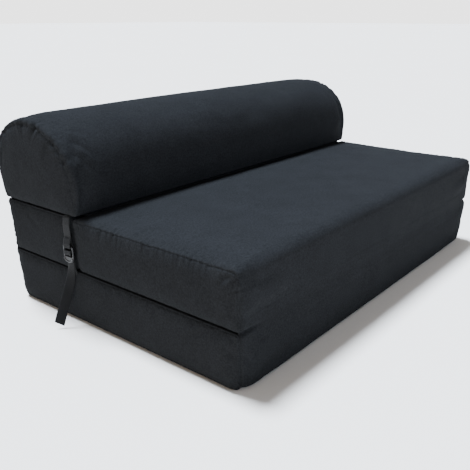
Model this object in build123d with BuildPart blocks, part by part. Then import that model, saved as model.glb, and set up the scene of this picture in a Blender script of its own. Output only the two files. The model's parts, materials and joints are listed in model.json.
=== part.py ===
from build123d import *
import os
from dataclasses import dataclass
from math import radians, tan

# Fold-out foam mattress, folded up as a low sofa. Millimetres, +Z up, the front faces -Y and +X is to
# the right as seen from the front. Four sections stand as a stack: a base slab, a seat slab and a back
# block side by side on it, and an arched bolster on the back block.

# ---------------------------------------------------------------- driving dimensions
width = 1200.0            # along X, all four sections
base_depth = 805.0        # front to rear
base_height = 141.0
upper_height = 136.0      # seat slab and back block
seat_depth = 519.0
split_gap = 7.0           # between the seat slab and the back block
layer_gap = 4.0           # between stacked sections
slab_edge_radius = 16.0   # long edges of the three slabs

bolster_half_width = 161.0
bolster_height = 215.0
front_foot_radius = 45.0      # the bolster's long bottom edges: wide in front, where the seat slab's
rear_foot_radius = 20.0       # rear edge swings up past it, and tighter behind
bolster_overhang = 21.0       # how far its rear stands out behind the back block

cloth = 1.0               # thickness of the cover fabric
foam_inset = 3.0          # foam surface to the cover's outer face
hinge_cloth = 1.0
hinge_reach = 22.0        # how far a hinge strip runs over each section
hinge_stand = 0.3         # clear of the covers it joins
hinge_end_margin = 2.0    # short of each end of the sections
bolster_flap = 21.0       # half the loose cloth between the back block and the bolster

webbing_width = 25.0
webbing_thickness = 1.4
strap_from_split = 17.0   # strap's centre line behind the middle of the split

zip_end_margin = 70.0     # from each end of a section to its zip
zip_slot_height = 7.0
zip_slot_end_run = 6.0    # slot past each end of the coil
zip_coil_height = 3.0
zip_length = width - 2 * zip_end_margin

# ---------------------------------------------------------------- levels and lines that follow
pull_eye_radius = 1.5
bridge_height = 3.8           # slider's bridge bar above the cover
front_stand_out = hinge_cloth + hinge_stand
rear_stand_out = bolster_overhang + bridge_height + pull_eye_radius

front_y = front_stand_out - (front_stand_out + base_depth + rear_stand_out) / 2
rear_y = front_y + base_depth
split_y = front_y + seat_depth + split_gap / 2
upper_z = base_height + layer_gap
upper_top_z = upper_z + upper_height
bolster_z = upper_top_z + layer_gap
bolster_mid_y = rear_y + bolster_overhang - bolster_half_width
bolster_arch_z = bolster_z + bolster_height - bolster_half_width
strap_y = split_y + strap_from_split
half_width = width / 2


@dataclass
class Section:
    """One foam section: its extent front to rear and in height, and where its zip runs."""

    name: str
    front: float
    rear: float
    low: float
    high: float
    zip_z: float
    zip_face_y: float
    arched: bool = False
    pull_tab: bool = True


back_front_y = split_y + split_gap / 2
upper_mid_z = upper_z + upper_height / 2
bolster_rear_y = rear_y + bolster_overhang
base_zip_z = 45.0         # clear of the back block's zip when the two rear faces meet, folded out
bolster_zip_z = (bolster_z + rear_foot_radius + bolster_arch_z) / 2
sections = [
    Section("base", front_y, rear_y, 0, base_height, base_zip_z, rear_y),
    Section("seat", front_y, front_y + seat_depth, upper_z, upper_top_z, upper_mid_z,
            front_y + seat_depth, pull_tab=False),
    Section("back", back_front_y, rear_y, upper_z, upper_top_z, upper_mid_z, rear_y),
    Section("bolster", bolster_mid_y - bolster_half_width, bolster_rear_y, bolster_z,
            bolster_z + bolster_height, bolster_zip_z, bolster_rear_y, arched=True),
]

os.makedirs("parts", exist_ok=True)


def save(builder, name):
    """Label a finished piece and write its STEP file."""
    builder.part.label = name
    export_step(builder.part, f"parts/{name}.step")


# ---------------------------------------------------------------- foam sections and their covers
def arch_outline(inset):
    """Bolster's section: flat foot, round lower edges, short upright walls and a half-round top."""
    front = bolster_mid_y - bolster_half_width
    rear = bolster_mid_y + bolster_half_width
    foot_front = (front + front_foot_radius, bolster_z + front_foot_radius)
    foot_rear = (rear - rear_foot_radius, bolster_z + rear_foot_radius)
    with BuildLine() as arch:
        Line((foot_front[0], bolster_z + inset), (foot_rear[0], bolster_z + inset))
        CenterArc(foot_rear, rear_foot_radius - inset, -90, 90)
        Line((rear - inset, foot_rear[1]), (rear - inset, bolster_arch_z))
        CenterArc((bolster_mid_y, bolster_arch_z), bolster_half_width - inset, 0, 180)
        Line((front + inset, bolster_arch_z), (front + inset, foot_front[1]))
        CenterArc(foot_front, front_foot_radius - inset, 180, 90)
    return arch.edges()


def outline(section, inset, mode=Mode.ADD):
    """The section's outline in the YZ plane, brought in by inset all round."""
    with BuildSketch(Plane.YZ, mode=Mode.PRIVATE) as shape:
        if section.arched:
            make_face(arch_outline(inset))
        else:
            with Locations(((section.front + section.rear) / 2, (section.low + section.high) / 2)):
                RectangleRounded(section.rear - section.front - 2 * inset,
                                 section.high - section.low - 2 * inset,
                                 slab_edge_radius - inset)
    add(shape.sketch_local, mode=mode)


def make_foam(section):
    with BuildPart() as foam:
        with BuildSketch(Plane.YZ):
            outline(section, foam_inset)
        extrude(amount=half_width - foam_inset, both=True)
    save(foam, f"{section.name}_foam")


def make_wrap(section):
    """One panel of cloth that runs right round the section, slotted where the zip is."""
    with BuildPart() as wrap:
        with BuildSketch(Plane.YZ):
            outline(section, 0)
            outline(section, cloth, mode=Mode.SUBTRACT)
        extrude(amount=half_width - cloth, both=True)
        with Locations((0, section.zip_face_y, section.zip_z)):
            Box(zip_length + 2 * zip_slot_end_run, 4 * cloth, zip_slot_height, mode=Mode.SUBTRACT)
    save(wrap, f"{section.name}_wrap")


def make_end_panels(section):
    for side, start in (("left", -half_width), ("right", half_width - cloth)):
        with BuildPart() as panel:
            with BuildSketch(Plane.YZ.offset(start)):
                outline(section, 0)
            extrude(amount=cloth)
        save(panel, f"{section.name}_{side}_end")


# ---------------------------------------------------------------- zips
tape_height = 8.0
tape_thickness = 0.6
tape_behind_cloth = 0.4
tape_coil_gap = 0.1
tape_end_run = 8.0            # tape past each end of the coil

coil_depth = 2.0
coil_set_back = 0.5           # coil's middle behind the cover's outer face
coil_edge_radius = 0.5

stop_length = 4.0
stop_depth = 2.2
stop_height = 5.0
stop_set_back = 0.2
stop_edge_radius = 0.8
stop_gap = 0.4                # from the end of the coil

slider_length = 10.0
slider_height = 8.0
slider_plate = 1.2            # thickness of the plate over the coil
slider_plate_stand = 1.5      # its middle above the cover
slider_corner_radius = 2.0
slider_wall_length = 7.0
slider_wall_depth = 2.1
slider_wall = 1.2
slider_wall_stand = 0.45
slider_wall_spread = 2.7      # from the coil's middle to each wall's
slider_park_x = zip_length / 2 - slider_length   # closed end

bridge_radius = 0.6
bridge_half_length = 3.4
bridge_post_width = 1.2
bridge_post_rise = 2.4
bridge_post_stand = 3.1
bridge_post_spread = 3.2

pull_length = 22.0
pull_width = 7.0
pull_thickness = 1.0
pull_corner_radius = 2.5
pull_drop = 1.2               # top of the tab below the bridge's middle
pull_eye_half_length = 2.0
pull_eye_clearance = 0.2


def make_zip_tapes(section):
    """Two strips of tape sewn behind the slot, one each side of the coil."""
    tape_y = section.zip_face_y - cloth - tape_behind_cloth - tape_thickness / 2
    reach = zip_coil_height / 2 + tape_coil_gap + tape_height / 2
    with BuildPart() as tapes:
        with Locations((0, tape_y, section.zip_z - reach), (0, tape_y, section.zip_z + reach)):
            Box(zip_length + 2 * tape_end_run, tape_thickness, tape_height)
    save(tapes, f"{section.name}_zip_tape")


def make_zip_coil(section):
    with BuildPart() as coil:
        with Locations((0, section.zip_face_y - coil_set_back, section.zip_z)):
            Box(zip_length, coil_depth, zip_coil_height)
        fillet(coil.edges().filter_by(Axis.X), coil_edge_radius)
    save(coil, f"{section.name}_zip_coil")


def make_zip_stops(section):
    stop_x = zip_length / 2 + stop_gap + stop_length / 2
    stop_y = section.zip_face_y - stop_set_back
    with BuildPart() as stops:
        with Locations((-stop_x, stop_y, section.zip_z), (stop_x, stop_y, section.zip_z)):
            Box(stop_length, stop_depth, stop_height)
        fillet(stops.edges().filter_by(Axis.Y), stop_edge_radius)
    save(stops, f"{section.name}_zip_stops")


def make_zip_slider(section):
    """Channel over the coil, with a bridge bar along its travel where a pull tab hangs."""
    face = section.zip_face_y
    with BuildPart() as slider:
        with Locations((slider_park_x, face + slider_plate_stand, section.zip_z)):
            Box(slider_length, slider_plate, slider_height)
        fillet(slider.edges().filter_by(Axis.Y), slider_corner_radius)
        for sign in (-1, 1):
            wall_z = section.zip_z + sign * slider_wall_spread
            with Locations((slider_park_x, face + slider_wall_stand, wall_z)):
                Box(slider_wall_length, slider_wall_depth, slider_wall)
        if section.pull_tab:
            for sign in (-1, 1):
                post_x = slider_park_x + sign * bridge_post_spread
                with Locations((post_x, face + bridge_post_stand, section.zip_z)):
                    Box(bridge_post_width, bridge_post_rise, 2 * bridge_radius)
            with BuildSketch(Plane.YZ.offset(slider_park_x)):
                with Locations((face + bridge_height, section.zip_z)):
                    Circle(bridge_radius)
            extrude(amount=bridge_half_length, both=True)
    save(slider, f"{section.name}_zip_slider")


def make_zip_pull(section):
    """Flat tab with an eye round the slider's bridge bar."""
    eye_y = section.zip_face_y + bridge_height
    with BuildPart() as pull:
        with BuildSketch(Plane.XZ.offset(-eye_y)):
            with Locations((slider_park_x, section.zip_z - pull_drop - pull_length / 2)):
                RectangleRounded(pull_width, pull_length, pull_corner_radius)
        extrude(amount=pull_thickness / 2, both=True)
        with BuildSketch(Plane.YZ.offset(slider_park_x)):
            with Locations((eye_y, section.zip_z)):
                Circle(pull_eye_radius)
        extrude(amount=pull_eye_half_length, both=True)
        with BuildSketch(Plane.YZ.offset(slider_park_x)):
            with Locations((eye_y, section.zip_z)):
                Circle(bridge_radius + pull_eye_clearance)
        extrude(amount=pull_width, both=True, mode=Mode.SUBTRACT)
    save(pull, f"{section.name}_zip_pull")


for each in sections:
    make_foam(each)
    make_wrap(each)
    make_end_panels(each)
    make_zip_tapes(each)
    make_zip_coil(each)
    make_zip_stops(each)
    make_zip_slider(each)
    if each.pull_tab:
        make_zip_pull(each)


# ---------------------------------------------------------------- fabric hinges
def make_face_hinge(name, y_centre):
    """Strip of cover cloth over the gap between two stacked sections."""
    with BuildPart() as strip:
        with Locations((0, y_centre, base_height + layer_gap / 2)):
            Box(width - 2 * hinge_end_margin, hinge_cloth, layer_gap + 2 * hinge_reach)
    save(strip, name)


make_face_hinge("front_hinge", front_y - hinge_stand - hinge_cloth / 2)
make_face_hinge("rear_hinge", rear_y + hinge_stand + hinge_cloth / 2)

flap_cloth = 0.8
flap_z = upper_top_z + layer_gap / 2
flap_fold_radius = 1.0
flap_sewn_run = 9.0           # how far it runs in between the back block and the bolster
flap_end_margin = 30.0
flap_front_y = back_front_y - bolster_flap + flap_fold_radius
flap_rear_y = back_front_y + flap_sewn_run
flap_half_length = half_width - flap_end_margin

# Doubled strip of cloth between the back block's top front edge and the bolster's foot.
with BuildPart() as bolster_hinge:
    with BuildSketch(Plane.YZ):
        with BuildLine():
            Line((flap_rear_y, flap_z - flap_fold_radius), (flap_front_y, flap_z - flap_fold_radius))
            CenterArc((flap_front_y, flap_z), flap_fold_radius, 90, 180)
            Line((flap_front_y, flap_z + flap_fold_radius), (flap_rear_y, flap_z + flap_fold_radius))
        trace(line_width=flap_cloth)
    extrude(amount=flap_half_length, both=True)
save(bolster_hinge, "bolster_hinge")


# ---------------------------------------------------------------- straps and buckles
# A "plane" is how far something lies out from the end panel.
buckle_plane = 9.0            # middle of the buckle
buckle_thickness = 5.0
buckle_width = 36.0
buckle_corner_radius = 3.5
webbing_slack = 0.3           # between a bar and the webbing round it
slot_width = webbing_width + 1.4

top_bar_z = upper_top_z - 73.0
top_bar_radius = 2.0
top_slot_height = 3 * top_bar_radius
grip_bar_z = top_bar_z - 15.0
grip_bar_radius = 2.0
lip_top_z = top_bar_z - 24.0
buckle_low_z = top_bar_z - 41.0
lip_half_height = 9.0
lip_side_step = 1.0           # lip is this much narrower than the frame on each side
lip_below_frame = 4.0

loop_radius = top_bar_radius + webbing_slack + webbing_thickness / 2
upper_strap_plane = buckle_plane - loop_radius
upper_start_plane = 1.6
upper_bend_drop = 20.0        # from the bolster's foot to where the strap hangs straight
upper_bend_radius = 12.0

patch_z = bolster_z - 2.6     # sewn end of the upper strap, under the bolster's foot
patch_length = 22.0
patch_inset = 13.0            # its middle, in from the end panel

lower_start_plane = 0.9
lower_strap_plane = 3.2
grip_wrap_plane = buckle_plane + 4.2    # over the outer side of the grip bar
grip_wrap_top_z = grip_bar_z + 5.0
grip_wrap_low_z = grip_bar_z - 5.1
tail_plane = 5.3

# The free tail hangs from the buckle and splays out over the base's side: distance out from the end
# panel, and height, from the buckle's lower slot to the bare end just over the floor.
tail_points = [
    (tail_plane, lip_top_z + 1.0),
    (tail_plane + 0.3, 160.0),
    (8.5, 136.0),
    (15.0, 112.0),
    (24.0, 88.0),
    (34.5, 62.0),
    (46.5, 37.0),
    (56.0, 12.0),
]


def arc_radii(points):
    """Radius of the arc at each inner corner: 0.45 of the shorter run over tan of half the turn."""
    radii = []
    for before, here, after in zip(points, points[1:], points[2:]):
        run_in = Vector(*here) - Vector(*before)
        run_out = Vector(*after) - Vector(*here)
        half_turn = radians(run_in.get_angle(run_out) / 2)
        radii.append(0.45 * min(run_in.length, run_out.length) / tan(half_turn))
    return radii


def outward(side, points):
    """Points given as (out from the end panel, height), placed on that side's XZ plane."""
    return [(side * (half_width + out), z) for out, z in points]


strap_plane = Plane.XZ.offset(-strap_y)


def make_webbing(name, side, points, radii):
    """Flat webbing: the route in the XZ plane, thickened and given the webbing's width along Y."""
    with BuildPart() as strap:
        with BuildSketch(strap_plane):
            with BuildLine():
                FilletPolyline(*outward(side, points), radius=radii)
            trace(line_width=webbing_thickness)
        extrude(amount=webbing_width / 2, both=True)
    save(strap, name)


def make_upper_strap(name, side):
    """From under the bolster down to the buckle, with the loop round the buckle's top bar."""
    route = [
        (upper_start_plane, patch_z),
        (upper_strap_plane, bolster_z - upper_bend_drop),
        (upper_strap_plane, top_bar_z),
    ]
    with BuildPart() as strap:
        with BuildSketch(strap_plane):
            with BuildLine():
                FilletPolyline(*outward(side, route), radius=upper_bend_radius)
            trace(line_width=webbing_thickness)
            with Locations((side * (half_width + buckle_plane), top_bar_z)):
                Circle(loop_radius + webbing_thickness / 2)
                Circle(top_bar_radius + webbing_slack, mode=Mode.SUBTRACT)
        extrude(amount=webbing_width / 2, both=True)
    save(strap, name)


def make_buckle(name, side):
    """Ladder-lock buckle: top bar, two rails, grip bar and a thumb lip with a round lower edge."""
    rail_width = (buckle_width - slot_width) / 2
    middle = side * (half_width + buckle_plane)
    frame_top_z = top_bar_z + top_bar_radius
    frame_low_z = buckle_low_z + lip_below_frame
    with BuildPart() as buckle:
        with BuildSketch(Plane.YZ.offset(middle)):
            with Locations((strap_y, (frame_top_z + frame_low_z) / 2)):
                RectangleRounded(buckle_width, frame_top_z - frame_low_z, buckle_corner_radius)
            with Locations((strap_y, buckle_low_z + lip_half_height)):
                Ellipse(buckle_width / 2 - lip_side_step, lip_half_height)
            with Locations((strap_y, (top_bar_z + lip_top_z) / 2)):
                Rectangle(slot_width, top_bar_z - lip_top_z, mode=Mode.SUBTRACT)
            with Locations((strap_y, top_bar_z)):
                Rectangle(slot_width, top_slot_height, mode=Mode.SUBTRACT)
        extrude(amount=buckle_thickness / 2, both=True)
        for bar_z, radius in ((top_bar_z, top_bar_radius), (grip_bar_z, grip_bar_radius)):
            with BuildSketch(strap_plane):
                with Locations((middle, bar_z)):
                    Circle(radius)
            extrude(amount=slot_width / 2 + rail_width / 2, both=True)
    save(buckle, name)


# Up the side from the base's top edge, over the grip bar from outside and back in under it.
lower_strap_points = [
    (lower_start_plane, base_height - 16),
    (lower_start_plane, base_height - 4),
    (lower_strap_plane, base_height + 8),
    (lower_strap_plane, grip_wrap_top_z),
    (grip_wrap_plane, grip_wrap_top_z),
    (grip_wrap_plane, grip_wrap_low_z),
    (tail_plane + 0.2, grip_wrap_low_z),
]
lower_strap_radii = [20, 12, 1, 1.2, 1.2]
tail_radii = arc_radii(tail_points)

for side_name, side_sign in (("left", -1), ("right", 1)):
    with BuildPart() as patch:
        with Locations((side_sign * (half_width - patch_inset), strap_y, patch_z)):
            Box(patch_length, webbing_width, webbing_thickness)
    save(patch, f"{side_name}_strap_patch")
    make_upper_strap(f"{side_name}_upper_strap", side_sign)
    make_buckle(f"{side_name}_buckle", side_sign)
    make_webbing(f"{side_name}_lower_strap", side_sign, lower_strap_points, lower_strap_radii)
    make_webbing(f"{side_name}_strap_tail", side_sign, tail_points, tail_radii)
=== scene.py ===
import json
import math
import bpy
import bmesh
import numpy as np
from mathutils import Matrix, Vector, noise
from mathutils.bvhtree import BVHTree

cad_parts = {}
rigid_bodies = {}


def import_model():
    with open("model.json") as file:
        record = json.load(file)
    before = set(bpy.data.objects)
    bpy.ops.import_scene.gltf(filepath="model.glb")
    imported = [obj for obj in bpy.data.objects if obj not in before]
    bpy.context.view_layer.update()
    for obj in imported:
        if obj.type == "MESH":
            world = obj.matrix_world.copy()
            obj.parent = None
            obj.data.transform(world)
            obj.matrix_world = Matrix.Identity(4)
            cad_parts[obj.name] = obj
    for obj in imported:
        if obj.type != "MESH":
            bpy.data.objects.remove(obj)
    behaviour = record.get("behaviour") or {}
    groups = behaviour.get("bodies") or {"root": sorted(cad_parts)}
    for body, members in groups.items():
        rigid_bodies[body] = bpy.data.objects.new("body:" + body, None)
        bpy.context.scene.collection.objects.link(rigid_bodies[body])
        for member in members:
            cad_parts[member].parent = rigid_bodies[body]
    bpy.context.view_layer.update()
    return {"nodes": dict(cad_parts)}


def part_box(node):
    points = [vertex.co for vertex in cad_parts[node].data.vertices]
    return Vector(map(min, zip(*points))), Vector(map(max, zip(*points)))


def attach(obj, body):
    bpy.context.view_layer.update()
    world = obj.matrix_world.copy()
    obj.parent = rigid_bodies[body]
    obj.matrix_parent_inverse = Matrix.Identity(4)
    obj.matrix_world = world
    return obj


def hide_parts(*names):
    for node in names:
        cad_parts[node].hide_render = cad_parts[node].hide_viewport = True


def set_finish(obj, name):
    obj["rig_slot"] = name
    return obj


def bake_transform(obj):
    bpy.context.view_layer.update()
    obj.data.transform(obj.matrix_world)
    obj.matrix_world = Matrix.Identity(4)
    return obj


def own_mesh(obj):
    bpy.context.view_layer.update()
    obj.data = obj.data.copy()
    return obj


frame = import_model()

HALF = 0.6                # half the mattress's width
TAU = 2 * math.pi


# ---------------------------------------------------------------- camera
def add_object(name, data):
    obj = bpy.data.objects.new(name, data)
    bpy.context.scene.collection.objects.link(obj)
    return obj


lens = bpy.data.cameras.new("camera")
lens.lens = 45.2
lens.sensor_width = 36.0
lens.shift_x = -0.0717
lens.shift_y = 0.0847
eye = add_object("camera", lens)
eye.location = (-1.3692, -1.0771, 0.7195)
eye.rotation_euler = (math.radians(66.32), 0.0, math.radians(-52.31))
bpy.context.scene.camera = eye


# ---------------------------------------------------------------- mesh helpers
def make_mesh(name, verts, faces, uvs=None, smooth=True):
    """A mesh object from points and faces; uvs holds one (u, v) for each corner of each face."""
    mesh = bpy.data.meshes.new(name)
    mesh.from_pydata([tuple(v) for v in verts], [], faces)
    if uvs is not None:
        layer = mesh.uv_layers.new(name="cloth")
        layer.data.foreach_set("uv", np.asarray(uvs, np.float32).ravel())
    mesh.polygons.foreach_set("use_smooth", [smooth] * len(mesh.polygons))
    mesh.update()
    return add_object(name, mesh)


def bake_modifiers(obj):
    """Replace the object's mesh by the one its modifiers give."""
    graph = bpy.context.evaluated_depsgraph_get()
    mesh = bpy.data.meshes.new_from_object(obj.evaluated_get(graph), preserve_all_data_layers=True,
                                           depsgraph=graph)
    old = obj.data
    obj.modifiers.clear()
    obj.data = mesh
    bpy.data.meshes.remove(old)


def read_vectors(items, what):
    out = np.zeros(len(items) * 3, np.float32)
    items.foreach_get(what, out)
    return out.reshape(-1, 3).astype(float)


def coords(obj):
    return read_vectors(obj.data.vertices, "co")


def set_coords(obj, co):
    obj.data.vertices.foreach_set("co", co.astype(np.float32).ravel())
    obj.data.update()


def normals(obj):
    return read_vectors(obj.data.vertex_normals, "vector")


def attribute(obj, name, values=None):
    layer = obj.data.attributes.get(name)
    if values is not None:
        layer = layer or obj.data.attributes.new(name, "FLOAT", "POINT")
        layer.data.foreach_set("value", np.asarray(values, np.float32))
    out = np.zeros(len(obj.data.vertices), np.float32)
    layer.data.foreach_get("value", out)
    return out.astype(float)


def outward_faces(obj):
    shape = bmesh.new()
    shape.from_mesh(obj.data)
    bmesh.ops.recalc_face_normals(shape, faces=shape.faces)
    shape.to_mesh(obj.data)
    shape.free()


def surface_finder(obj):
    return BVHTree.FromObject(obj, bpy.context.evaluated_depsgraph_get())


def ease(x, a, b):
    """From 0 at a to 1 at b, level at both."""
    t = np.clip((x - a) / (b - a), 0, 1)
    return t * t * (3 - 2 * t)


def field(points, scale, seed):
    """Smooth noise in -1..1 at each point."""
    shift = Vector((seed * 7.31, seed * 3.17, seed * 5.73))
    return np.array([noise.noise(Vector(p) * scale + shift) for p in points])


# ---------------------------------------------------------------- straps: routes of the two free tails
SIDES = (("left", -1), ("right", 1))
STRAP_Y = 0.1245
WEB_WIDTH = 0.025
WEB_THICK = 0.0014

# The tail's route: distance out from the end panel, y and height.
TAIL = [
    (0.0053, 0.1245, 0.185),
    (0.0056, 0.1250, 0.160),
    (0.0085, 0.1262, 0.136),
    (0.0150, 0.1280, 0.112),
    (0.0240, 0.1302, 0.088),
    (0.0345, 0.1326, 0.062),
    (0.0465, 0.1350, 0.037),
    (0.0560, 0.1368, 0.012),
]
TAIL_TWIST = {"left": 1.0, "right": 0.7}    # share of the turn that each tail makes
TAIL_CUP = 0.0006
TAIL_END_SKEW = -0.22                       # slant of the cut end


def nurbs_path(points):
    """Points along the smooth curve that has the route's points as its control points."""
    curve = bpy.data.curves.new("route", "CURVE")
    curve.dimensions = "3D"
    curve.resolution_u = 10
    spline = curve.splines.new("NURBS")
    spline.points.add(len(points) - 1)
    for knot, point in zip(spline.points, points):
        knot.co = (*point, 1.0)
    spline.order_u = 3
    spline.use_endpoint_u = True
    obj = add_object("route", curve)
    bpy.context.view_layer.update()
    line = bpy.data.meshes.new_from_object(obj)
    path = np.array([v.co for v in line.vertices], float)
    bpy.data.objects.remove(obj)
    bpy.data.curves.remove(curve)
    bpy.data.meshes.remove(line)
    return path


def lengths(path):
    return np.concatenate([[0], np.cumsum(np.linalg.norm(np.diff(path, axis=0), axis=1))])


def even_path(path, step):
    """The same line with its points at even steps."""
    run = lengths(path)
    count = max(2, int(round(run[-1] / step)) + 1)
    at = np.linspace(0, run[-1], count)
    return np.stack([np.interp(at, run, path[:, k]) for k in range(3)], axis=1)


def ribbon(name, path, across, width=WEB_WIDTH, thick=WEB_THICK, cup=0.0, columns=8, skew=0.0):
    """Flat webbing along path: across gives its width's direction at each point of the path."""
    path = np.asarray(path, float)
    across = np.asarray(across, float)
    across = across / np.linalg.norm(across, axis=1)[:, None]
    along = np.gradient(path, axis=0)
    along /= np.linalg.norm(along, axis=1)[:, None]
    face = np.cross(along, across)
    face /= np.linalg.norm(face, axis=1)[:, None]
    across = np.cross(face, along)
    half = width / 2
    top = [(-half + width * k / columns, thick / 2) for k in range(columns + 1)]
    low = [(a, -b) for a, b in reversed(top)]
    edge_in = thick * 0.35
    top[0], top[-1] = (-half + edge_in, thick / 2), (half - edge_in, thick / 2)
    low[0], low[-1] = (half - edge_in, -thick / 2), (-half + edge_in, -thick / 2)
    ring = top + [(half, 0.0)] + low + [(-half, 0.0)]
    count = len(ring)
    run = lengths(path)
    verts = []
    slant = skew * ease(run, run[-1] - 0.020, run[-1])
    for point, side, out, ahead, lean in zip(path, across, face, along, slant):
        for a, b in ring:
            bow = cup * (1 - (a / half) ** 2)
            verts.append(point + side * a + out * (b + bow) + ahead * (lean * a))
    faces, uvs = [], []
    for i in range(len(path) - 1):
        for j in range(count):
            k = (j + 1) % count
            corners = ((i, j), (i, k), (i + 1, k), (i + 1, j))
            faces.append(tuple(a * count + b for a, b in corners))
            uvs += [(run[a], ring[b][0]) for a, b in corners]
    for i, order in ((0, range(count)[::-1]), (len(path) - 1, range(count))):
        faces.append(tuple(i * count + j for j in order))
        uvs += [(run[i], ring[j][0]) for j in order]
    obj = make_mesh(name, verts, faces, uvs)
    outward_faces(obj)
    return obj


def webbing(name, path, side, turn, **shape):
    """Webbing whose width has turned towards the front by the given angle at each point of the path."""
    across = np.stack([side * np.sin(turn), np.cos(turn), np.zeros_like(turn)], axis=1)
    return ribbon(name, path, across, **shape)


def tail_turn(z):
    """How far the tail has turned towards the front, by height."""
    high = np.radians(4.0)
    low = np.radians(53.0)
    return high + (low - high) * ease(-z, -0.160, -0.080)


for side_name, side in SIDES:
    points = [(side * (HALF + out), y, z) for out, y, z in TAIL]
    route = even_path(nurbs_path(points), 0.003)
    turn = tail_turn(route[:, 2]) * TAIL_TWIST[side_name]
    tail = webbing(f"{side_name}_tail_webbing", route, side, turn, cup=side * TAIL_CUP,
                   skew=TAIL_END_SKEW)
    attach(tail, "base")
    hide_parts(f"{side_name}_strap_tail")
    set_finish(tail, "webbing")
    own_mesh(tail)


# ---------------------------------------------------------------- section covers
def corner(centre, radius, start, sweep, count):
    angles = np.radians(start + sweep * np.linspace(0, 1, count))
    return [(centre[0] + radius * math.cos(a), centre[1] + radius * math.sin(a)) for a in angles]


def resample(dense, step, marks=()):
    """Even points along a closed outline of (y, z), with rows at the marked heights on its rear side."""
    dense = np.asarray(dense + [dense[0]], float)
    run = lengths(dense)
    spots = []
    for mark in marks:
        for i in range(len(dense) // 2, len(dense) - 1):
            high, low = dense[i, 1], dense[i + 1, 1]
            if low <= mark < high:
                spots.append(run[i] + (high - mark) / (high - low) * (run[i + 1] - run[i]))
    count = int(round(run[-1] / step))
    even = [at for at in np.linspace(0, run[-1], count, endpoint=False)
            if all(abs(at - spot) > 0.4 * step for spot in spots)]
    at = np.array(sorted(even + spots))
    return np.stack([np.interp(at, run, dense[:, k]) for k in range(2)], axis=1), at, run[-1]


def slab_outline(front, rear, low, high, radii):
    """Section outline from the bottom's middle forward, up the front, back over the top, down the rear.
    radii: low front, high front, high rear, low rear."""
    a, b, c, d = radii
    middle = (front + rear) / 2
    dense = [(middle, low)]
    dense += corner((front + a, low + a), a, 270, -90, 9)
    dense += corner((front + b, high - b), b, 180, -90, 9)
    dense += corner((rear - c, high - c), c, 90, -90, 9)
    dense += corner((rear - d, low + d), d, 0, -90, 9)
    return dense


def bezier(p0, p1, p2, p3, count):
    t = np.linspace(0, 1, count)[:, None]
    p0, p1, p2, p3 = (np.array(p, float) for p in (p0, p1, p2, p3))
    line = (1 - t) ** 3 * p0 + 3 * (1 - t) ** 2 * t * p1 + 3 * (1 - t) * t ** 2 * p2 + t ** 3 * p3
    return [tuple(p) for p in line]


# Heights of the cage's rows from the zip's middle, half the slot's length, and the slider at its end.
ZIP_ROWS = (-0.0075, -0.0050, -0.0038, 0.0, 0.0038, 0.0050, 0.0075)
ZIP_HALF = 0.536
SLIDER_PARK = 0.520
END_ZONE = 0.075          # length beside each end panel where the rings stand closer


def half_rings(roll_x, roll_in, taper):
    """Rings from the middle to one end: x, inset, and share of the way to the end panel's middle."""
    dense_from, roll_from = HALF - END_ZONE, HALF - roll_x
    rings = [(x, 0.0, 0.0) for x in np.linspace(0, dense_from, 18)]
    for x in np.linspace(dense_from, roll_from, 9)[1:]:
        rings.append((x, taper * float(ease(x, dense_from, roll_from)), 0.0))
    for angle in np.radians([22, 45, 68, 90]):
        rings.append((HALF - roll_x + roll_x * math.sin(angle),
                      taper + roll_in * (1 - math.cos(angle)), 0.0))
    for share in (0.03, 0.07, 0.12, 0.2, 0.32, 0.46, 0.62, 0.8):
        rings.append((HALF, taper + roll_in, share))
    return rings


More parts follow.
